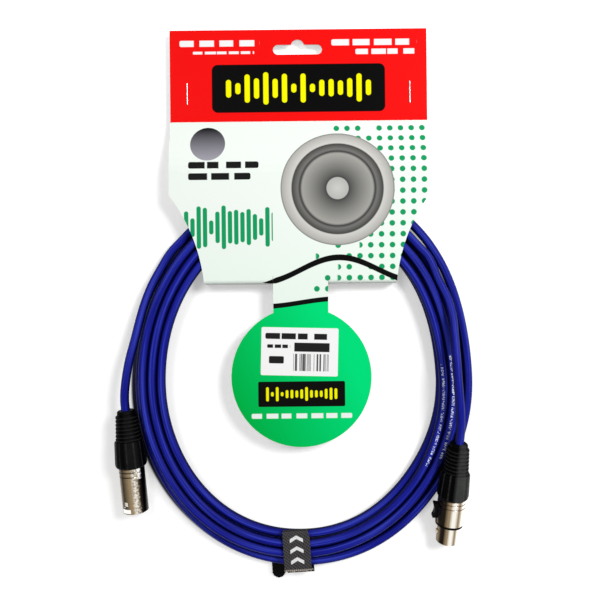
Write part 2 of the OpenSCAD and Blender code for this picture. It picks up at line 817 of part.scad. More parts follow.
at_mate() ribbed_boot(mate_l);  // mate_boot
at_mate() latch();
at_mate() latch_pin();
at_mate() latch_spring();
header_card();
card_label();
staple(-staple_out);  // staple_left
staple(staple_out);  // staple_right
tie_strap();
tie_tail();
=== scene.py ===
"""A packed microphone cable: a coil in a folded card, with its plug, its socket connector and its tie."""
import math
import random

import bmesh
import bpy
from mathutils import Matrix, Vector


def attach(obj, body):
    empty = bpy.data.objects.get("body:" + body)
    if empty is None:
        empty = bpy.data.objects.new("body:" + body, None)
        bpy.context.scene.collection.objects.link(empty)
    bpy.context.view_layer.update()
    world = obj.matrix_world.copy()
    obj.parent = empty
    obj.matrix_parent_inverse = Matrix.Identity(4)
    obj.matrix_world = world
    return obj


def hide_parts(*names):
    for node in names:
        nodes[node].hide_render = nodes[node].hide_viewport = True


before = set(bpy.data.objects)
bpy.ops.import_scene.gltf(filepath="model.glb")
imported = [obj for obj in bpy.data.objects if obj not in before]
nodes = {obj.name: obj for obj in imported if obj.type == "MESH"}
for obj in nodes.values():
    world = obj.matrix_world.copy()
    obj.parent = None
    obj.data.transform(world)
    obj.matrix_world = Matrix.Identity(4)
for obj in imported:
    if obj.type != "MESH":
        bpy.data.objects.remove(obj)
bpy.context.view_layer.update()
bpy.ops.object.select_all(action="DESELECT")
bpy.context.scene.view_settings.view_transform = "Standard"

# ---------------------------------------------------------------- camera
# The pack is looked at from straight above, from half a metre, and the view is 456 mm wide at the table.
view_x, view_y, view_height = 0.0032, 0.0033, 0.5
view_half_width = 0.228
camera = bpy.data.objects.new("camera", bpy.data.cameras.new("camera"))
bpy.context.scene.collection.objects.link(camera)
bpy.context.scene.camera = camera
camera.location = (view_x, view_y, view_height)
camera.data.angle = 2 * math.atan(view_half_width / view_height)
camera.data.clip_start = 0.01


# ---------------------------------------------------------------- cable
# One 6.5 mm cable with a blue PVC jacket, from the clamp in the plug, round the coil, to the clamp in the
# socket connector. It is one tube, swept along the route that the solids follow, with a ring every 4 mm.
class Wire:
    """What a node puts out. Arithmetic on it adds Math nodes, and & and | take the lower and the higher."""

    def __init__(self, finish, socket):
        self.finish, self.socket = finish, socket

    def math(self, operation, *values):
        return self.finish.node("Math", {"operation": operation}, dict(enumerate(values)))

    def __add__(self, other):
        return self.math("ADD", self, other)

    def __sub__(self, other):
        return self.math("SUBTRACT", self, other)

    def __rsub__(self, other):
        return self.math("SUBTRACT", other, self)

    def __mul__(self, other):
        return self.math("MULTIPLY", self, other)

    def __truediv__(self, other):
        return self.math("DIVIDE", self, other)

    def __mod__(self, other):
        return self.math("FLOORED_MODULO", self, other)

    def __pow__(self, other):
        return self.math("POWER", self, other)

    def __and__(self, other):
        return self.math("MINIMUM", self, other)

    def __or__(self, other):
        return self.math("MAXIMUM", self, other)

    def __abs__(self):
        return self.math("ABSOLUTE", self)

    __radd__, __rmul__ = __add__, __mul__

    def floor(self):
        return self.math("FLOOR", self)

    def sine(self):
        return self.math("SINE", self)

    def wave(self):
        """The sine of the value, brought to run from 0 to 1."""
        return self.sine() * 0.5 + 0.5

    def inside(self, blur):
        """1 where the value is above 0, 0 where it is below, over a soft edge."""
        return self.finish.node("Math", {"operation": "MULTIPLY_ADD", "use_clamp": True},
                                {0: self, 1: 1 / blur, 2: 0.5})


class Finish:
    """A material with one Principled shader, whose sockets take numbers, colours and Wires."""

    def __init__(self, name, colour, rough, metal=0.0, **more):
        self.material = bpy.data.materials.new(name)
        self.material.use_nodes = True
        self.tree = self.material.node_tree
        self.shader = self.tree.nodes["Principled BSDF"]
        self.feed(Base_Color=colour, Roughness=rough, Metallic=metal, **more)

    def node(self, kind, settings, values, out=0):
        made = self.tree.nodes.new("ShaderNode" + kind)
        for key, value in settings.items():
            if key == "stops":
                ramp = made.color_ramp.elements
                while len(ramp) < len(value):
                    ramp.new(1)
                for stop, (place, colour) in zip(ramp, value):
                    stop.position, stop.color = place, colour
            else:
                setattr(made, key, value)
        for key, value in values.items():
            if isinstance(value, Wire):
                self.tree.links.new(value.socket, made.inputs[key])
            else:
                made.inputs[key].default_value = value
        return Wire(self, made.outputs[out])

    def feed(self, **sockets):
        for name, value in sockets.items():
            socket = self.shader.inputs[name.replace("_", " ")]
            if isinstance(value, Wire):
                self.tree.links.new(value.socket, socket)
            else:
                socket.default_value = value

    def spot(self):
        """The object's own coordinates, in metres, as one Wire."""
        return self.node("TexCoord", {}, {}, "Object")

    def place(self):
        """The object's own coordinates, in millimetres, as three Wires."""
        return [self.node("SeparateXYZ", {}, {0: self.spot()}, k) * 1000 for k in range(3)]

    def toward(self, direction, start=(0, 0, 0)):
        """How far a point lies from the start in one direction, in millimetres."""
        heading = Vector(direction)
        reach = self.node("VectorMath", {"operation": "DOT_PRODUCT"}, {0: self.spot(), 1: heading * 1000}, 1)
        return reach - Vector(start).dot(heading)

    def chart(self, name):
        """A piece's own map, as two Wires."""
        where = self.node("UVMap", {"uv_map": name}, {})
        return [self.node("SeparateXYZ", {}, {0: where}, k) for k in range(2)]

    def noise(self, scale, detail=2.0, at=None):
        return self.node("TexNoise", {}, {"Scale": scale, "Detail": detail, "Vector": at or self.spot()})

    def chance(self, across, up):
        """A number from 0 to 1 for each whole cell of a grid."""
        row = up.floor() if isinstance(up, Wire) else math.floor(up)
        cell = self.node("CombineXYZ", {}, {0: across.floor(), 1: row})
        return self.node("TexWhiteNoise", {"noise_dimensions": "3D"}, {"Vector": cell})

    def toss(self, value, seed=0.0):
        """A number from 0 to 1 for each whole step of a value."""
        return self.node("TexWhiteNoise", {"noise_dimensions": "1D"}, {"W": value.floor() + seed})

    def mix(self, factor, low, high):
        return self.node("Mix", {"data_type": "RGBA"}, {0: factor, 6: low, 7: high}, 2)

    def bump(self, height, depth, strength=1.0):
        self.feed(Normal=self.node("Bump", {}, {"Strength": strength, "Distance": depth, "Height": height}))


def ink(red, green, blue):
    """A colour as a screen shows it, in steps of 255."""
    def lit(step):
        step = step / 255
        return step / 12.92 if step <= 0.04045 else ((step + 0.055) / 1.055) ** 2.4
    return lit(red), lit(green), lit(blue), 1.0


def wear(piece, finish):
    """Gives a piece or a CAD node one material."""
    piece.data.materials.clear()
    piece.data.materials.append(finish.material)


mm = 0.001
full_turn = 2 * math.pi
cable_r = 3.25
coil_x, coil_y, coil_lift = 3.45, -61.0, 1.3
half_w, rise, drop = 129.7, 153.4, 137.5
lane, top_spread = 7.0, 2.5
first_turn, turn_back, last_turn = 0.125, 3.75, 6.375
climb_early, climb_turns = 0.2, 0.5
# How many lanes a strand leans in: the lower layer at the left, the upper one all round and more at the right
lower_lean, upper_lean, right_lean = 0.05, 0.12, 0.23
# How far the strands give way to each connector, in lanes, and swell at the shoulder, as a share, each with
# its place and its half width in turns
plug_push, mate_push, shoulder = (0.25, 0.95, 0.14), (0.2, 0.6, 0.1), (0.045, 0.365, 0.12)
points_per_turn = 48
cable_sides = 20
ring_step = 4.0
lead_straight = 7.0


def ease(x):
    x = max(0.0, min(1.0, x))
    return x * x * (3 - 2 * x)


def swell(t, most, at, width):
    x = abs((t - at + 0.5) % 1 - 0.5)
    return most * ((1 + math.cos(math.pi * x / width)) / 2) if x < width else 0


def coil_point(t):
    """A point of the coil after t turns: in, up a layer, and out again."""
    a = math.pi - full_turn * t
    right = (1 + math.cos(a)) / 2
    layer = ease((t - turn_back + climb_early) / climb_turns)
    lean = layer * (upper_lean + right_lean * right) + (1 - layer) * lower_lean * (1 - math.cos(a))
    u = min(t, 2 * turn_back - t) + lean + swell(t, *plug_push) + (1 - layer) * swell(t, *mate_push)
    full = 1 + swell(t, *shoulder)
    reach = rise - (lane + top_spread * right) * u if math.sin(a) > 0 else drop - lane * u
    return Vector((coil_x + (half_w - lane * u) * full * math.cos(a), coil_y + reach * full * math.sin(a),
                   coil_lift + cable_r + lane * layer))


class Axis:
    """A connector's own frame: s runs from the nose to the back, up is up and left is to the left."""

    def __init__(self, x, y, radius, lean, tilt):
        lean, tilt = math.radians(lean), math.radians(tilt)
        self.tip = Vector((x, y, radius * math.cos(tilt)))
        self.along = Vector((math.sin(lean) * math.cos(tilt), math.cos(lean) * math.cos(tilt),
                             math.sin(tilt)))
        self.left = Vector((-math.cos(lean), math.sin(lean), 0))
        self.up = self.along.cross(self.left)

    def at(self, s):
        return self.tip + s * self.along

    def turned(self):
        """The turn and place that bring a piece modelled on Z onto this axis."""
        turn = Matrix((self.left, self.up, self.along)).transposed()
        return Matrix.Translation(self.tip * mm) @ turn.to_4x4()


plug_r, nose_r, body_r = 9.35, 8.1, 10.2
plug_in, plug_down, mate_in, mate_down = 7.25, 92.6, 20.3, 115.5
plug = Axis(coil_x - half_w + plug_in, coil_y - plug_down, plug_r, lean=-4.75, tilt=4)
mate = Axis(coil_x + half_w - mate_in, coil_y - mate_down, nose_r, lean=4, tilt=12)
plug_l, mate_l = 33.8, 36.0
cable_in, rear_l, straight_out = 3.2, 42.3, 9.5
# Percent of the coil's half width, percent of its rise, and height over its foot
plug_route = [(-99, 4, 14), (-97.3, 13, 13), (-94.7, 22.2, 11.3), (-92.3, 31.3, 9.4),
              (-89.6, 40.1, 7.6), (-86, 48.6, 5.8), (-81.2, 56.6, 4.3)]
mate_route = [(79.2, 50.9, 11.4), (83.6, 42.6, 14), (85.7, 34.3, 17.3), (86.3, 26, 20.4),
              (86.6, 17, 23.3), (87, 8, 25.8), (87.6, -1, 27.3), (88.3, -9.8, 27.5)]
turns = round((last_turn - first_turn) * points_per_turn)
coil_line = [coil_point(first_turn + i / points_per_turn) for i in range(turns + 1)]


def from_coil(point):
    return Vector((coil_x + point[0] * half_w / 100, coil_y + point[1] * rise / 100, coil_lift + point[2]))


clamp_run = rear_l + cable_in + straight_out
route = [plug.at(plug_l - cable_in + k * clamp_run / 3) for k in range(4)]
route += [from_coil(point) for point in plug_route]
route += [coil_line[0] - lead_straight * (coil_line[1] - coil_line[0]).normalized()]
route += coil_line
route += [coil_line[-1] + lead_straight * (coil_line[-1] - coil_line[-2]).normalized()]
route += [from_coil(point) for point in mate_route]
route += [mate.at(mate_l - cable_in + k * clamp_run / 3) for k in (3, 2, 1, 0)]


def smooth_line(points, step):
    """A curve through the points that turns evenly, cut into equal steps."""
    fine, cuts = [], 16
    for i in range(len(points) - 1):
        a, b = points[max(i - 1, 0)], points[i]
        c, d = points[i + 1], points[min(i + 2, len(points) - 1)]
        ab, bc, cd = max((b - a).length, 1e-6), (c - b).length, max((d - c).length, 1e-6)
        slope_b = slope_c = (c - b) / bc
        if i > 0:
            slope_b = ((b - a) / ab * bc + (c - b) / bc * ab) / (ab + bc)
        if i < len(points) - 2:
            slope_c = ((c - b) / bc * cd + (d - c) / cd * bc) / (bc + cd)
        for k in range(cuts):
            x = k / cuts
            fine.append((2 * x**3 - 3 * x**2 + 1) * b + (x**3 - 2 * x**2 + x) * bc * slope_b
                        + (3 * x**2 - 2 * x**3) * c + (x**3 - x**2) * bc * slope_c)
    fine.append(points[-1])
    reach = [0.0]
    for a, b in zip(fine, fine[1:]):
        reach.append(reach[-1] + (b - a).length)
    count = round(reach[-1] / step)
    line, k = [], 0
    for i in range(count + 1):
        want = reach[-1] * i / count
        while k < len(reach) - 2 and reach[k + 1] < want:
            k += 1
        part = (want - reach[k]) / max(reach[k + 1] - reach[k], 1e-9)
        line.append(fine[k].lerp(fine[k + 1], part))
    return line, reach[-1]


cable_line, cable_length = smooth_line(route, ring_step)
rings, faces, around = [], [], []
for i, spot in enumerate(cable_line):
    heading = (cable_line[min(i + 1, len(cable_line) - 1)] - cable_line[max(i - 1, 0)]).normalized()
    side = heading.cross(Vector((0, 0, 1))).normalized()
    up = side.cross(heading)
    for k in range(cable_sides):
        a = full_turn * k / cable_sides
        rings.append((spot + cable_r * (side * math.cos(a) + up * math.sin(a))) * mm)
for i in range(len(cable_line) - 1):
    for k in range(cable_sides):
        a, b = i * cable_sides + k, i * cable_sides + (k + 1) % cable_sides
        faces.append((a, b, b + cable_sides, a + cable_sides))
        around.append((i, k))
last = (len(cable_line) - 1) * cable_sides
faces += [tuple(range(cable_sides - 1, -1, -1)), tuple(range(last, last + cable_sides))]
cable = bpy.data.objects.new("cable", bpy.data.meshes.new("cable"))
bpy.context.scene.collection.objects.link(cable)
cable.data.from_pydata(rings, [], faces)
# Along the jacket in millimetres, and round it as a share, for the print and the grain
jacket_map = cable.data.uv_layers.new(name="jacket")
for face in cable.data.polygons:
    if face.index < len(around):
        i, k = around[face.index]
        for corner, (di, dk) in zip(face.loop_indices, ((0, 0), (0, 1), (1, 1), (1, 0))):
            jacket_map.data[corner].uv = ((i + di) * ring_step, (k + dk) / cable_sides)
    face.use_smooth = True

jacket = Finish("blue_jacket", ink(28, 30, 150), 0.4, IOR=1.15, Specular_IOR_Level=0.5)
along, round_it = jacket.chart("jacket")
# A row of small white print shows on two turns at the right, where it faces up
print_high, print_long, print_slant, print_at = 0.095, 78.0, 0.0011, 0.25
speck_long, letter_long, word_long, speck_rows = 0.55, 1.65, 8.5, 3
marks = 0.0
for turn in (4.53, 5.52):
    where = coil_point(turn)
    middle = min(range(len(cable_line)), key=lambda i: (cable_line[i] - where).length) * ring_step
    off = along - middle
    row = (round_it - print_at - off * print_slant) / print_high + 0.5
    in_row = (0.5 - abs(row - 0.5)).inside(0.05) & (print_long / 2 - abs(off)).inside(0.3)
    speck = (jacket.chance(along / speck_long, row * speck_rows) - 0.42).inside(0.05)
    word = (jacket.chance(along / word_long, turn) * 0.16 + 0.78 - (along / word_long) % 1.0).inside(0.02)
    letter = (0.8 - (along / letter_long) % 1.0).inside(0.05)
    marks = (in_row & speck & word & letter) | marks
cloudy = jacket.noise(45, 3)
blue = jacket.mix(cloudy, ink(17, 22, 136), ink(29, 37, 180))
# The flanks, where the strands touch, are painted darker as shade, and the crown has pale streaks of painted
# highlight
angle = round_it * full_turn
crown = angle.sine()
streak_noise = jacket.noise(1.0, 2, jacket.node("CombineXYZ", {}, {0: along * 0.012, 1: round_it * 15}))
# Painted highlight: pale streaks along the crown
blue = jacket.mix((streak_noise - 0.55).inside(0.2) * (crown - 0.62).inside(0.5) * 0.62, blue, ink(74, 90, 230))
# Painted shade: the flanks darken towards near black
blue = jacket.mix((0.75 - crown).inside(0.9) * 0.95, blue, ink(2, 2, 24))
jacket.feed(Base_Color=jacket.mix(marks, blue, ink(226, 234, 255)),
            Roughness=jacket.noise(220, 3) * 0.16 + 0.32)
# The jacket is drawn in lightly over the twisted cores, and the die has left fine lines along it
twist = (along * 5.2 + angle).wave()
lines = jacket.noise(1.0, 3, jacket.node("CombineXYZ", {}, {0: along * 0.03, 1: round_it * 22}))
jacket.bump(twist * 0.35 + lines, 0.00016, 0.5)
wear(cable, jacket)
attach(cable, "pack")
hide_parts("cable_coil", "plug_lead", "mate_lead")
# The cable is free from the back end of the plug's clamp on. That point, the cable's length and its line are
# worked out in metres below, and nothing uses them.
clamp_end = 16.4
plug.at(plug_l - cable_in + clamp_end) * mm
round(cable_length * mm, 3)
[p * mm for p in cable_line]

# ---------------------------------------------------------------- light and floor
# A white table under a pale sky, with two wide lamps over the pack that leave soft shadows. Under the coil
# the table is painted dark as a shadow and doesn't glow, so that the gaps between the strands look deep.
def apart(x, y):
    """How far a point is from where x and y are 0."""
    return (x * x + y * y) ** 0.5


floor_size, floor_drop = 4.0, -0.0003
corners = ((-1, -1), (1, -1), (1, 1), (-1, 1))
floor = bpy.data.objects.new("floor", bpy.data.meshes.new("floor"))
bpy.context.scene.collection.objects.link(floor)
floor.data.from_pydata([(x * floor_size, y * floor_size, floor_drop) for x, y in corners], [], [(0, 1, 2, 3)])
table_white, painted_coil_shadow = (0.9, 0.9, 0.9, 1), (0.05, 0.05, 0.12, 1)
table = Finish("white_table", table_white, 0.9, Specular_IOR_Level=0.0, Emission_Strength=0.7)
seen = table.node("LightPath", {}, {}, "Is Camera Ray") | table.node("LightPath", {}, {}, "Is Glossy Ray")
x, y, _ = table.place()
glow_from, glow_blur, least_glow = 260, 900, 0.28
far = (apart(x, y) - glow_from).inside(glow_blur) * (1 - least_glow) + least_glow
# The coil as a band round an oval, in shares of its half width, its rise and its drop
band_at, band_half = 0.918, 0.072
x, y = (x - coil_x) / half_w, y - coil_y
y = (y / rise) | (y / -drop)
under_coil = (band_half - abs(apart(x, y) - band_at)).inside(0.012)
# Painted shadow: the table's colour is dark in the band under the coil
table.feed(Base_Color=table.mix(under_coil, table_white, painted_coil_shadow))
seen = seen * far * (1.0 - under_coil)
table.feed(Emission_Color=table.mix(seen, (0, 0, 0, 1), (1, 1, 1, 1)))
wear(floor, table)
sky_strength = 0.24
world = bpy.data.worlds.new("studio")
bpy.context.scene.world = world
world.use_nodes = True
sky = world.node_tree.nodes["Background"]
path = world.node_tree.nodes.new("ShaderNodeLightPath")
shown = None
for ray in ("Is Camera Ray", "Is Glossy Ray", "Is Transmission Ray"):
    either = world.node_tree.nodes.new("ShaderNodeMath")
    either.operation = "MAXIMUM"
    either.inputs[1].default_value = 0
    world.node_tree.links.new(path.outputs[ray], either.inputs[0])
    if shown:
        world.node_tree.links.new(shown.outputs[0], either.inputs[1])
    shown = either
strength = world.node_tree.nodes.new("ShaderNodeMapRange")
strength.inputs["To Min"].default_value = sky_strength
world.node_tree.links.new(shown.outputs[0], strength.inputs["Value"])
world.node_tree.links.new(strength.outputs[0], sky.inputs["Strength"])
sky.inputs["Color"].default_value = (1, 1, 1, 1)
# Each lamp's place and width in metres, and its watts
lamps = (("left_lamp", (-0.5, 0.45, 1.2), 0.5, 4.2), ("right_lamp", (0.75, 0.45, 1.05), 0.45, 12.8))
for name, spot, size, watts in lamps:
    lamp = bpy.data.objects.new(name, bpy.data.lights.new(name, "AREA"))
    bpy.context.scene.collection.objects.link(lamp)
    lamp.location = spot
    lamp.rotation_mode = "QUATERNION"
    lamp.rotation_quaternion = (-Vector(spot)).to_track_quat("-Z", "Y")
    lamp.data.size, lamp.data.energy = size, watts

# ---------------------------------------------------------------- header card
# Coated white board, folded once and printed on the outside: a red head, a pale green panel with plain
# shapes, and a green tongue. All that is printed is placed from the fold, across and up the card.
fold_x, fold_y, card_turn = 3.6, 15.4, math.radians(0.6)
disc_reach = 68.8


def from_fold(finish):
    """How far a point lies across the card, up the card and above the table."""
    fold = (fold_x, fold_y, 0)
    card_across = (math.cos(card_turn), math.sin(card_turn), 0)
    card_up = (-math.sin(card_turn), math.cos(card_turn), 0)
    return finish.toward(card_across, fold), finish.toward(card_up, fold), finish.toward((0, 0, 1))


def panel(across, up, centre, size, corner, blur=0.25):
    """A filled rectangle with round corners."""
    dx = (abs(across - centre[0]) - (size[0] / 2 - corner)) | 0
    dy = (abs(up - centre[1]) - (size[1] / 2 - corner)) | 0
    return (corner - apart(dx, dy)).inside(blur)


def bars(across, up, centre, size, pitch, share, least=0.3, seed=0.0):
    """A row of upright bars with round ends, of uneven height, in a box."""
    cell = (across - centre[0] + size[0] / 2) / pitch
    tall = across.finish.toss(cell, seed)
    half = (tall * (1 - least) + least) * (size[1] / 2) - pitch * share / 2
    dx = (cell % 1.0 - 0.5) * pitch
    dy = (abs(up - centre[1]) - half) | 0
    row = (pitch * share / 2 - apart(dx, dy)).inside(0.25)
    return row & (size[0] / 2 - abs(across - centre[0])).inside(0.2)


def words(across, up, *rows):
    """Lines of dummy words, as strips of uneven length. A row is its centre, its size, a pitch and a seed."""
    shown = 0.0
    for x, y, wide, high, pitch, seed in rows:
        cell = (across - x + wide / 2) / pitch
        full = (across.finish.toss(cell, seed) * 0.35 + 0.6 - cell % 1.0).inside(0.04)
        shown = (panel(across, up, (x, y), (wide, high), high * 0.3) & full) | shown
    return shown


board = Finish("printed_board", ink(240, 250, 242), 0.42, Specular_IOR_Level=0.03)
across, up, height = from_fold(board)
print_green, print_black = ink(22, 160, 98), ink(8, 8, 8)
print_dark, print_shine = ink(8, 8, 12), ink(168, 166, 176)
art = board.mix((up / 120).inside(1), ink(236, 252, 240), ink(246, 254, 247))
# Green dots that thin out to the left, and a round loudspeaker in greys
dot_pitch, dot_r, dots_from, dots_fade = 8.0, 2.1, 2, 60
dots = (dot_r - apart(across % dot_pitch - dot_pitch / 2, up % dot_pitch - dot_pitch / 2)).inside(0.3)
thinned = board.chance(across / dot_pitch, up / dot_pitch) * dots_fade
dots = dots & (across - dots_from - thinned).inside(1)
art = board.mix(dots, art, print_green)
speaker_x, speaker_y, speaker_r = 28, 70, 42
out = apart(across - speaker_x, up - speaker_y)
cone = board.node("ValToRGB", {"stops": [
    (0.0, ink(208, 208, 204)), (0.19, ink(186, 186, 182)), (0.2, ink(70, 70, 70)), (0.24, ink(92, 92, 90)),
    (0.62, ink(168, 167, 162)), (0.66, ink(60, 60, 60)), (0.7, ink(120, 119, 116)), (0.8, ink(70, 70, 68)),
    (0.82, ink(214, 213, 208)), (0.97, ink(182, 181, 176)), (1.0, ink(120, 120, 118))]}, {0: out / speaker_r})
art = board.mix((speaker_r - out).inside(0.3), art, cone)
# Green level bars at the left, two lines of dummy words over them, and a grey dot with a soft shine
art = board.mix(bars(across, up, (-53, 42), (66, 34), 4.6, 0.7), art, print_green)
art = board.mix(words(across, up, (-56, 88, 52, 5, 14, 3), (-59, 79.5, 46, 5, 17, 8)), art, ink(26, 26, 26))
ball_x, ball_y, ball_r = -68, 104.5, 13
shine = board.mix((104 - up).inside(26), print_dark, print_shine)
art = board.mix((ball_r - apart(across - ball_x, up - ball_y)).inside(0.3), art, shine)
# One black wave runs over the foot of the panel and down the neck, and thickens from its start at the left
wave_from, wave_up, wave_half = -28, 10, 2.2
wave = (across * 0.055).sine() * 9
run_in = across - wave_from
snake = wave_half * (run_in / 10 & 1) - abs(up - wave_up - wave)
art = board.mix(snake.inside(0.3) & run_in.inside(0.3), art, print_black)
# Red head with a black plate and yellow bars, under two pairs of lines of white dummy words
head_from, plate_up = 122, 147
red = board.mix((across / 190).inside(1), ink(250, 16, 15), ink(252, 18, 17))
art = board.mix((up - head_from).inside(0.3), art, red)
art = board.mix(panel(across, up, (0, plate_up), (130, 36), 4.5), art, ink(3, 3, 3))
art = board.mix(bars(across, up, (0, plate_up), (112, 25), 7, 0.56, 0.25, 11), art, ink(255, 252, 0))
white_words = words(across, up, (-59, 181, 60, 4.6, 15, 21), (-56, 174, 46, 2, 9, 5),
                    (57, 181, 64, 4.6, 16, 30), (66, 174, 46, 4, 12, 36))
art = board.mix(white_words, art, ink(250, 250, 250))
# Green tongue below a black line at the neck, with a plate, yellow bars and a line of dummy words
neck_from, neck_line, plate_up = 15, 14, -81.3
below = wave * 0.3 - up
leaf = board.mix((across / 100 + 0.1 + (up + 68) / 200).inside(1), ink(0, 180, 70), ink(0, 228, 126))
art = board.mix((below - neck_from).inside(0.3), art, leaf)
art = board.mix((1.8 - abs(below - neck_line)).inside(0.3), art, ink(10, 10, 10))
art = board.mix(panel(across, up, (0, plate_up), (64, 18.6), 1.2), art, ink(10, 10, 8))
art = board.mix(bars(across, up, (0, plate_up), (54, 12), 3.6, 0.56, 0.25, 17), art, ink(252, 250, 0))
art = board.mix(words(across, up, (0, -97.4, 74, 3.6, 11, 44)), art, ink(245, 250, 246))
# The board's inside, its back panel and its cut edges are bare white
front_above = 5.4
facing = board.node("SeparateXYZ", {}, {0: board.node("TexCoord", {}, {}, "Normal")}, "Z")
printed = (facing - 0.5).inside(0.1) & (height - front_above).inside(0.2)
board.feed(Base_Color=board.mix(printed, ink(238, 238, 234), art), Roughness=board.noise(40) * 0.1 + 0.36)
board.bump(board.noise(700, 4), 0.00004)
wear(nodes["header_card"], board)

# ---------------------------------------------------------------- label
# A white paper label stuck on the tongue, with dummy lines, an upright bar pattern and a plain dark tag.
label_turn, label_down = card_turn - math.radians(1.7), disc_reach - 18.6
paper = Finish("label_paper", ink(250, 250, 250), 0.5, Specular_IOR_Level=0.1)
x, y, _ = paper.place()
centre = Matrix.Rotation(card_turn, 2) @ Vector((-1.2, -label_down)) + Vector((fold_x, fold_y))
x, y = x - centre[0], y - centre[1]
across = x * math.cos(label_turn) + y * math.sin(label_turn)
up = y * math.cos(label_turn) - x * math.sin(label_turn)
black = words(across, up, (-1.5, 11.3, 48, 4.4, 12, 2), (-15.5, 3.8, 17, 2.6, 5.6, 9))
black = black | panel(across, up, (9, 3.4), (26, 6.6), 0.3) | panel(across, up, (-17, -6.2), (11, 5.4), 1)
stripe_w = 0.42
stripe = (paper.toss(across / stripe_w) - 0.5).inside(0.05)
black = black | (stripe & panel(across, up, (9, -7.8), (27, 12.6), 0.1))
fibres = paper.mix(paper.noise(500, 4), ink(249, 249, 248), ink(255, 255, 255))
paper.feed(Base_Color=paper.mix(black, fibres, ink(20, 20, 20)), Roughness=paper.noise(300) * 0.1 + 0.45)
paper.bump(paper.noise(1200, 3), 0.00001)
wear(nodes["card_label"], paper)

# ---------------------------------------------------------------- staples
# Two bright wire staples go through both panels above the coil, and their legs are folded in at the back.
def grained(name, colour, rough, grain, depth, metal=0.0, **more):
    """One stuff with small changes of tone and gloss, and a fine grain on its surface."""
    finish = Finish(name, colour, rough, metal, **more)
    dark = tuple(0.8 * step for step in colour[:3]) + (1.0,)
    light = tuple(min(1.0, 1.2 * step) for step in colour[:3]) + (1.0,)
    finish.feed(Base_Color=finish.mix(finish.noise(grain / 10, 4), dark, light),
                Roughness=finish.noise(grain / 4, 3) * 0.16 + (rough - 0.08))
    finish.bump(finish.noise(grain, 3), depth)
    return finish


staple_wire = grained("staple_wire", ink(205, 205, 205), 0.28, 2400, 0.00002, 1.0)
for name in ("staple_left", "staple_right"):
    wear(nodes[name], staple_wire)

# ---------------------------------------------------------------- tie
# A woven hook and loop strap, 20 mm wide, goes once round the bottom of the coil and laps over itself on top,
# where its cut end has frayed. Its narrow fuzzy end lies on the table beside the band.
tie_w, tie_t, tie_thin, tie_x = 20.0, 1.0, 0.85, 1
tie_turn = math.radians(3.5)
outer_strand, inner_strand = 0.75, 3.87
coil_top = coil_lift + 2 * cable_r + lane
loop_out = drop - outer_strand * lane + cable_r + 0.6
loop_in = drop - inner_strand * lane - cable_r - 2.6
tie_shift = tie_x - coil_x - (loop_out + loop_in) / 2 * math.sin(tie_turn)
tie_place = (Matrix.Translation(Vector((coil_x, coil_y, 0)) * mm) @ Matrix.Rotation(tie_turn, 4, "Z")
             @ Matrix.Translation(Vector((tie_shift, 0, 0)) * mm))
rng = random.Random(7)


def finish_mesh(piece, place, **modifiers):
    """Applies modifiers in turn, then puts the piece's place in its mesh."""
    for kind, settings in modifiers.items():
        made = piece.modifiers.new(kind, kind.upper())
        for key, value in settings.items():
            setattr(made, key, value)
        bpy.ops.object.modifier_apply(modifier=kind)
    piece.matrix_world = place
    bpy.ops.object.transform_apply(location=True, rotation=True, scale=True)
    bpy.ops.object.shade_smooth_by_angle(angle=math.radians(40))


def corner(y, z, r, start, steps=5):
    """Points round a quarter turn of the strap, from an angle in degrees."""
    turn = [math.radians(start + 90 * k / steps) for k in range(steps + 1)]
    return [(y + r * math.cos(a), z + r * math.sin(a)) for a in turn]


# The strap's middle as seen from the side, from the lap that is covered, round the coil, to the free end
bend, lap_bend, waist, span, ripple, dip = 3.5, 2.2, 9.0, 16, 0.14, 0.5
low, high = tie_t / 2, coil_top + 0.3 + tie_t / 2
top = high + 0.9
out_y, in_y = -loop_out - 0.45, -loop_in - 0.9
lap = [(-loop_out + 9, high + 0.05), (-loop_out + 6, high + 0.02)]
lap += corner(out_y + bend, high - bend, bend, 90)
lap += [(out_y, waist)] + corner(out_y + bend, low + bend, bend, 180)
lap += [(out_y + (in_y - bend - out_y) * k / 8, low) for k in range(2, 7)]
lap += corner(in_y - 2 * bend, low + bend, bend, 270) + [(in_y - 1.4, waist)]
lap += corner(in_y - lap_bend, top - lap_bend, lap_bend, 0)
for k in range(1, span + 1):
    y = in_y - lap_bend + (out_y - in_y + 2 * lap_bend) * k / span
    lap.append((y, top + ripple * math.sin((y - out_y) * full_turn / lane) - (dip if k == span else 0)))
bpy.ops.object.select_all(action="DESELECT")
bpy.ops.mesh.primitive_grid_add(x_subdivisions=30, y_subdivisions=1, size=1)
strap = bpy.context.object
strap.name = "tie_band"
for vert in strap.data.vertices:
    y, z = lap[0] if vert.co.y < 0 else lap[1]
    vert.co = Vector((vert.co.x * tie_w, y, z)) * mm
bpy.ops.object.mode_set(mode="EDIT")
bpy.ops.mesh.select_mode(type="VERT")
net = bmesh.from_edit_mesh(strap.data)
for vert in net.verts:
    vert.select = abs(vert.co.y - lap[1][0] * mm) < 1e-6
net.select_flush_mode()
bmesh.update_edit_mesh(strap.data)
for (y, z), (next_y, next_z) in zip(lap[1:], lap[2:]):
    step = (0, (next_y - y) * mm, (next_z - z) * mm)
    bpy.ops.mesh.extrude_region_move(TRANSFORM_OT_translate={"value": step})
bpy.ops.object.mode_set(mode="OBJECT")
end_y, end_z = lap[-1]
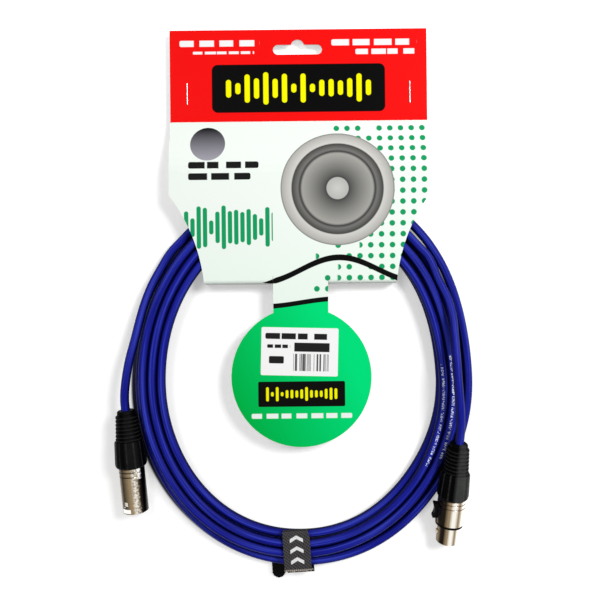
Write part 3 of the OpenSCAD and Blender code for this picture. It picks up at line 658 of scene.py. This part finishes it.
for vert in strap.data.vertices:
    x, y, z = vert.co / mm
    if abs(y - end_y) < 1e-3 and abs(z - end_z) < 1e-3:
        vert.co.y -= rng.uniform(0, 1.1) * mm
        vert.co.z -= rng.uniform(0, 0.3) * mm
    elif z > top - 3:
        # One corner of the top lap has lifted and turned in
        vert.co.z += 0.5 * mm * ease((x - 5) / 5) * ease((y - in_y + 9) / 7)
        vert.co.x -= 1.1 * mm * ease((x - 6) / 4) * ease((y - in_y + 6) / 6)
    if y < out_y + 3 and z < top - 0.8:
        # At the outside of the coil, the strap under the top lap has slipped a little to the side
        vert.co.x += 2.0 * mm
finish_mesh(strap, tie_place, Solidify={"thickness": tie_thin * mm, "offset": 0},
            Bevel={"width": 0.2 * mm, "segments": 2, "angle_limit": 1.0},
            Subsurf={"levels": 1, "render_levels": 1})
tie_spot = tie_place.translation / mm
tie_across, tie_up = tie_place.to_3x3().col[0], tie_place.to_3x3().col[1]
weave = Finish("woven_tie", ink(46, 47, 50), 0.85, Specular_IOR_Level=0.1)
x, y, z = weave.toward(tie_across, tie_spot), weave.toward(tie_up, tie_spot), weave.toward((0, 0, 1))
run = y - z
thread_w, pick_w, pick_l = 2.35, 1.7, 3.4
thread = ((run + x * 0.85) / thread_w) % 1.0
pick = (x / pick_w - run / pick_l) % 1.0
relief = (thread * full_turn).wave() * 0.5 + (pick * full_turn).wave() * 0.3 + weave.noise(900, 3) * 0.5 - 0.1
cloth = weave.mix((relief - 0.5).inside(0.9), ink(7, 7, 8), ink(88, 85, 86))
# Plain white arrows along the strap, pale thread ends at the cut, and the strap darker below the top lap
point_of = y + abs(x) * 0.55
arrow = 0.0
for spot in (-125.5, -117.5, -109.5):
    arrow = (1.3 - abs(point_of - spot)).inside(0.3) | arrow
arrow = arrow & (4.8 - abs(x)).inside(0.3) & (z - high).inside(0.2)
cloth = weave.mix(arrow * (1.3 - weave.noise(1500, 3) * 0.5), cloth, ink(240, 240, 240))
cut = (end_y + 1.0 - y).inside(0.6) & (z - high).inside(0.4)
bead = (x / 1.5 * full_turn).wave() * 0.7 + weave.noise(1100, 2) * 0.5
cloth = weave.mix(cut * bead, cloth, ink(196, 184, 172))
# Darker below the top lap
loops = (top - 0.9 - z).inside(0.5)
cloth = weave.mix(loops * 0.75, cloth, ink(8, 8, 9))
weave.feed(Base_Color=cloth, Roughness=relief * 0.1 + 0.8)
weave.bump(relief, 0.00025, 0.9)
wear(strap, weave)
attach(strap, "pack")
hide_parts("tie_strap")

# The narrow end starts as a disc, and its half that faces the coil's centre is drawn out along the table
tail_w, tail_out, tail_in = 10.0, 9.4, 8
tail_tip = -(drop - outer_strand * lane + cable_r) - tail_out
tail_mid = tail_tip + tail_w / 2
bpy.ops.object.select_all(action="DESELECT")
bpy.ops.mesh.primitive_cylinder_add(vertices=56, radius=tail_w / 2 * mm, depth=tie_t * mm,
                                    location=(0, tail_mid * mm, tie_t / 2 * mm))
bpy.ops.object.transform_apply(location=True)
tail = bpy.context.object
tail.name = "tie_end"
bpy.ops.object.mode_set(mode="EDIT")
bpy.ops.mesh.select_mode(type="FACE")
bpy.ops.mesh.select_all(action="DESELECT")
net = bmesh.from_edit_mesh(tail.data)
for face in net.faces:
    face.select = face.normal.y > 0.02
bmesh.update_edit_mesh(tail.data)
tail_step = (0, (-loop_in - tail_in - tail_tip - tail_w) * mm, 0)
bpy.ops.mesh.extrude_region_move(TRANSFORM_OT_translate={"value": tail_step})
bpy.ops.object.mode_set(mode="OBJECT")
for vert in tail.data.vertices:
    x, y, z = vert.co / mm
    frayed = rng.uniform(0.96, 1.03)
    vert.co.x *= frayed
    if y < tail_mid:
        vert.co.y = (tail_mid + (y - tail_mid) * frayed) * mm
finish_mesh(tail, tie_place @ Matrix.Translation((-(tie_w + tail_w) / 2 * mm, 0, 0)),
            Bevel={"width": 0.3 * mm, "segments": 2, "angle_limit": 1.0})
fuzz = Finish("hook_tape", ink(10, 10, 11), 0.92, Specular_IOR_Level=0.05)
hooks = fuzz.node("TexVoronoi", {}, {"Scale": 1400.0, "Vector": fuzz.spot()})
fuzz.feed(Base_Color=fuzz.mix(hooks, ink(30, 30, 32), ink(5, 5, 6)), Roughness=fuzz.noise(500) * 0.15 + 0.8)
fuzz.bump(hooks, 0.0004, 1.0)
wear(tail, fuzz)
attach(tail, "pack")
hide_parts("tie_tail")

# ---------------------------------------------------------------- shells
# Die-cast zinc shells with bright nickel plate, turned with two cut rings near the back. What they mirror is
# painted into the plate's colour as soft bands of painted reflection, broken up by faint ripples along the
# plate.
reflection_dark, nickel_mid, reflection_pale = ink(30, 25, 20), ink(150, 130, 100), ink(250, 245, 235)


def painted_reflections(nickel, across, reflections):
    """Plate crossed by soft bands of painted reflection. A band is its place from the left, half its width, its
    blur and its tone.
    """
    tone = nickel_mid
    for place, half, blur, colour in reflections:
        tone = nickel.mix((half - abs(across - place)).inside(blur), tone, colour)
    return tone


def plate(name, axis, radius, reflections, ripple):
    """Nickel round a shell with bands of painted reflection, and the places that its rings and its inside need.
    """
    nickel = Finish(name, ink(205, 192, 172), 0.2, 1.0)
    left, up = nickel.toward(axis.left, axis.tip), nickel.toward(axis.up, axis.tip)
    along = nickel.toward(axis.along, axis.tip)
    across = ((nickel.noise(900, 5) - 0.5) * ripple - left / radius) * 0.5 + 0.5
    tone = painted_reflections(nickel, across, reflections)
    return nickel, left, along, across, apart(left, up), tone


def plated(nickel, tone):
    nickel.feed(Base_Color=tone, Roughness=nickel.noise(260, 4) * 0.14 + 0.16)
    nickel.bump(nickel.noise(900, 3), 0.00003)


# Painted reflection on the plug: a dark band at the left, a pale one right of the middle, a dark one at the
# right
plug_reflections = ((0.2, 0.14, 0.3, reflection_dark), (0.68, 0.05, 0.2, reflection_pale), (0.92, 0.13, 0.1, reflection_dark))
nickel, left, along, across, out, tone = plate("plug_plate", plug, plug_r, plug_reflections, 0.2)
ring_r, rings_from, between_from, hollow_r = 9.2, 24, 26, 8.75
# Painted shade: the two cut rings are darkened
ring = (ring_r - out).inside(0.1) & (along - rings_from).inside(0.1)
tone = nickel.mix(ring * 0.75, tone, ink(24, 20, 16))
# Painted highlight: broken white glints towards the back of the plate
glint = (0.06 - abs(across - 0.84)).inside(0.04) & (along - between_from).inside(0.4)
tone = nickel.mix(glint & (nickel.noise(800, 2) - 0.42).inside(0.12), tone, ink(255, 252, 244))
# Painted specks of highlight and of dark reflection where the painted reflection turns from pale to dark
reflection_specks = nickel.noise(620, 1)
turning = (0.1 - abs(across - 0.7)).inside(0.12) * 0.52
tone = nickel.mix((reflection_specks - 0.6).inside(0.08) & turning, tone, ink(244, 236, 220))
tone = nickel.mix((0.43 - reflection_specks).inside(0.06) & turning, tone, ink(44, 38, 34))
tone = nickel.mix((hollow_r - out).inside(0.1), tone, ink(238, 234, 226))
# Two painted highlights near the nose
highlight_bar = panel(left, along, (4.6, 2.5), (6.6, 3.0), 0.3, 0.3) & (out - 9).inside(0.1)
highlight_tick = panel(left + along * 0.5, along, (8.6, 6.6), (1.3, 2.4), 0.2, 0.3) & (out - 9).inside(0.1)
tone = nickel.mix(highlight_bar | highlight_tick, tone, ink(255, 254, 250))
plated(nickel, tone)
wear(nodes["plug_shell"], nickel)

# Painted reflection on the socket body: a dark band at the left, a pale one in the middle, a pale one at the
# right
mate_reflections = ((0.16, 0.12, 0.12, reflection_dark), (0.53, 0.1, 0.1, reflection_pale), (0.92, 0.15, 0.12, reflection_pale))
nickel, left, along, across, out, tone = plate("body_plate", mate, body_r, mate_reflections, 0.05)
nose_end = 14.9
nose_across = (0 - left / nose_r) * 0.5 + 0.5
# The nose gets the same painted reflection bands, taken on its own radius
nose_reflection_tone = painted_reflections(nickel, nose_across, mate_reflections)
tone = nickel.mix((nose_end - along).inside(0.2), tone, nose_reflection_tone)
ring_r, ring_foot, rings_from, hollow_r = 10.05, 9.5, 26, 7.4
# Painted shade: the cut rings are darkened
ring = (ring_r - out).inside(0.1) & (along - rings_from).inside(0.1) & (out - ring_foot).inside(0.1)
tone = nickel.mix(ring * 0.5, tone, ink(60, 44, 34))
tone = nickel.mix((hollow_r - out).inside(0.1), tone, ink(206, 196, 178))
plated(nickel, tone)
wear(nodes["mate_shell"], nickel)


# ---------------------------------------------------------------- grip nuts
# Moulded black nylon nuts with twelve flats, which narrow towards the back. They screw into the shells.
def turned(name, rings, sides):
    """A closed ring, drawn up from a circle through steps of [radius, place], in millimetres."""
    bpy.ops.object.select_all(action="DESELECT")
    (r, s), steps = rings[0], rings[1:]
    bpy.ops.mesh.primitive_circle_add(vertices=sides, radius=r * mm, location=(0, 0, s * mm))
    bpy.ops.object.transform_apply(location=True)
    piece = bpy.context.object
    piece.name = name
    bpy.ops.object.mode_set(mode="EDIT")
    bpy.ops.mesh.select_mode(type="EDGE")
    bpy.ops.mesh.select_all(action="SELECT")
    for next_r, next_s in steps:
        bpy.ops.mesh.extrude_region_move(TRANSFORM_OT_translate={"value": (0, 0, (next_s - s) * mm)})
        bpy.ops.transform.resize(value=(next_r / r, next_r / r, 1), center_override=(0, 0, next_s * mm))
        r, s = next_r, next_s
    bpy.ops.mesh.select_all(action="DESELECT")
    bpy.ops.mesh.select_non_manifold()
    bpy.ops.mesh.bridge_edge_loops()
    bpy.ops.mesh.select_all(action="SELECT")
    bpy.ops.mesh.normals_make_consistent(inside=False)
    bpy.ops.object.mode_set(mode="OBJECT")
    return piece


nut_r, nut_back_r, nut_l, flats = 11.6, 10.5, 19.8, 12
nut_slope = math.atan((nut_r - nut_back_r) / nut_l)
nut_front, nut_brow, nut_sides = 0.05, 3.05, 72
nut_end = nut_front + nut_l
hole, cavity, cavity_end, neck, neck_from = 5.6, 6.6, 17.9, 7.45, -5.55
nut_rings = [(cavity, neck_from), (neck - 0.4, neck_from), (neck, neck_from + 0.4), (neck, nut_front),
             (9.5, nut_front), (10.2, 0.25), (10.75, 0.7), (11.15, 1.3), (11.45, 2.1), (nut_r, nut_brow),
             (nut_back_r + 0.12, nut_end - 0.9), (nut_back_r - 0.1, nut_end - 0.35),
             (nut_back_r - 0.5, nut_end), (hole, nut_end), (hole, cavity_end), (cavity, cavity_end)]
# Each connector's back end: its name, its axis, its shell's length, and how strong the painted highlights on
# its black parts are
backs = (("plug", plug, plug_l, 0.15), ("mate", mate, mate_l, 1.0))


def black_stuff(name, axis, colour, rough, grain, lines, highlight_tone, highlight_share):
    """A black stuff with painted highlights along its edges and a painted sheen, a little paler, along the
    right of its top.
    """
    stuff = Finish(name, colour, rough, IOR=1.15, Specular_IOR_Level=0.15)
    left, up = stuff.toward(axis.left, axis.tip), stuff.toward(axis.up, axis.tip)
    highlight_breakup = (stuff.noise(420, 4) * 1.6 - 0.3) * (0.4 + 0.6 * highlight_share)
    # Painted highlights along the flats' edges or the ribs' crowns, broken up by noise
    edge_highlight = lines(left, up, stuff.toward(axis.along, axis.tip)) * highlight_breakup
    # Painted sheen: a paler band along the right of the top
    side = (0.38 - abs(left / apart(left, up) + 0.3)).inside(0.3) & (up / 3).inside(1)
    tone = stuff.mix(side * (stuff.noise(160, 3) + 0.25) * highlight_share, colour, highlight_tone)
    stuff.feed(Base_Color=stuff.mix(edge_highlight, tone, highlight_tone),
               Roughness=stuff.noise(grain / 4, 3) * 0.2 + (rough - 0.1))
    stuff.bump(stuff.noise(grain, 3), 0.00002)
    return stuff


def flat_edges(left, up, along):
    """The lines between the nut's flats, where a highlight is painted."""
    turn = left.math("ARCTAN2", left, up) * (flats / 2 / math.pi) + flats + 0.5
    return (0.1 - abs(turn % 1.0 - 0.5)).inside(0.1) * 0.8


nylon = grained("black_nylon", ink(6, 6, 7), 0.42, 2600, 0.00002, Specular_IOR_Level=0.04)
for name, axis, shell_l, highlight_share in backs:
    nut = turned(name + "_grip_nut", nut_rings, nut_sides)
    bpy.ops.object.mode_set(mode="EDIT")
    for k in range(flats):
        a = full_turn * k / flats
        x, y = math.cos(a), math.sin(a)
        lean_out = (x * math.cos(nut_slope), y * math.cos(nut_slope), math.sin(nut_slope))
        flat = nut_r * math.cos(math.pi / flats)
        brow = (flat * x * mm, flat * y * mm, nut_brow * mm)
        bpy.ops.mesh.select_all(action="SELECT")
        bpy.ops.mesh.bisect(plane_co=brow, plane_no=lean_out, use_fill=True, clear_outer=True, threshold=1e-7)
    bpy.ops.object.mode_set(mode="OBJECT")
    finish_mesh(nut, axis.turned() @ Matrix.Translation((0, 0, shell_l * mm)),
                Bevel={"width": 0.3 * mm, "segments": 2, "angle_limit": math.radians(18)})
    wear(nut, black_stuff(name + "_grip_nylon", axis, ink(3, 3, 4), 0.36, 2600, flat_edges, ink(70, 72, 70),
                          highlight_share))
    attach(nut, name + "_nut_body")
    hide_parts(name + "_nut")
for name in ("mate_ring", "plug_insert", "mate_insert"):
    wear(nodes[name], nylon)
# The latch lever's button is black nylon, and its arm and hook in the nose are plated
lever = Finish("latch_lever", ink(7, 7, 8), 0.4, Specular_IOR_Level=0.04)
hook = (nose_end - lever.toward(mate.along, mate.tip)).inside(0.2)
button = lever.mix(lever.noise(300), ink(4, 4, 5), ink(14, 14, 15))
lever.feed(Base_Color=lever.mix(hook, button, ink(214, 200, 176)), Metallic=hook,
           Roughness=lever.noise(700) * 0.16 + 0.28)
lever.bump(lever.noise(2400), 0.00002)
wear(nodes["latch"], lever)

# ---------------------------------------------------------------- boots
# Soft rubber boots with seven round ribs and a plain end collar. Each is caught in its nut by a flange, and
# the cable runs through it.
rib_r1, rib_r2, ribs_l, ribs, collar_r, collar_l = 9.4, 8.0, 19.2, 7, 6.6, 3.0
bore, flange_r, flange_from, flange_end, throat_r, boot_gap, boot_sides = 3.6, 6.5, 15.6, 17.8, 5.5, 0.3, 56
face_at = nut_l + boot_gap
pitch = ribs_l / ribs
boot_rings = [(bore, flange_from), (flange_r, flange_from), (flange_r, flange_end), (throat_r, flange_end),
              (throat_r, face_at)]
for i in range(ribs):
    r, s = rib_r1 + (rib_r2 - rib_r1) * i / (ribs - 1), face_at + i * pitch
    boot_rings += [(r - 1.1, s + 0.02), (r - 0.4, s + 0.1), (r - 0.1, s + 0.35), (r, s + 0.8),
                   (r, s + pitch * 0.5), (r - 0.12, s + pitch * 0.64), (r - 0.45, s + pitch * 0.74),
                   (r - 1.0, s + pitch * 0.8), (r - 1.1, s + pitch - 0.15)]
ribs_end, end = face_at + ribs_l, face_at + ribs_l + collar_l
boot_rings += [(collar_r - 0.25, ribs_end), (collar_r, ribs_end + 0.7), (collar_r, end - 1.1),
               (collar_r - 0.25, end - 0.45), (collar_r - 0.7, end - 0.08), (collar_r - 1.3, end),
               (bore, end)]


def rib_crowns(shell_l):
    """The tops of the ribs behind a shell of this length, where a highlight is painted."""
    def crowns(left, up, along):
        from_face = along - shell_l - face_at
        at_rib = (from_face / pitch + 10) % 1.0
        on_ribs = (ribs_l / 2 - abs(from_face - ribs_l / 2)).inside(0.2)
        return (0.1 - abs(at_rib - 0.3)).inside(0.14) * on_ribs * 0.8
    return crowns


for name, axis, shell_l, highlight_share in backs:
    boot = turned(name + "_cable_boot", boot_rings, boot_sides)
    finish_mesh(boot, axis.turned() @ Matrix.Translation((0, 0, shell_l * mm)))
    wear(boot, black_stuff(name + "_boot_rubber", axis, ink(3, 3, 4), 0.42, 1800, rib_crowns(shell_l),
                           ink(84, 84, 84), highlight_share * 0.5))
    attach(boot, name + "_boot_body")
    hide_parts(name + "_boot")

# ---------------------------------------------------------------- contacts and wiring
# Silver plated pins and contacts stand in the inserts. The cut end of the cable is held by a slit nylon chuck
# behind them, and its two cores and its shield go into the solder cups.
silver = grained("silver_plate", ink(228, 222, 206), 0.2, 1500, 0.00001, 1.0)
for side, kind in (("plug", "pin"), ("mate", "contact")):
    for i in (1, 2, 3):
        wear(nodes[f"{side}_{kind}_{i}"], silver)
steel = grained("spring_steel", ink(190, 190, 192), 0.28, 1500, 0.00001, 1.0)
for name in ("latch_pin", "latch_spring"):
    wear(nodes[name], steel)
chuck = grained("white_nylon", ink(226, 226, 220), 0.42, 1500, 0.00002)
for name in ("plug_collet", "mate_collet"):
    wear(nodes[name], chuck)
red_core = grained("red_core", ink(186, 30, 25), 0.4, 1500, 0.00002)
white_core = grained("white_core", ink(232, 232, 226), 0.4, 1500, 0.00002)
bare_wire = Finish("bare_wire", ink(200, 130, 80), 0.35, 1.0)
x, y, z = bare_wire.place()
lay = (x * 9 + y * 6 + z * 4).wave()
copper = bare_wire.mix(lay, ink(140, 84, 48), ink(226, 160, 108))
bare_wire.feed(Base_Color=copper, Roughness=lay * 0.15 + 0.25)
bare_wire.bump(lay, 0.0001)
for side in ("plug", "mate"):
    for i, finish in ((1, red_core), (2, white_core), (3, bare_wire)):
        wear(nodes[f"{side}_core_{i}"], finish)
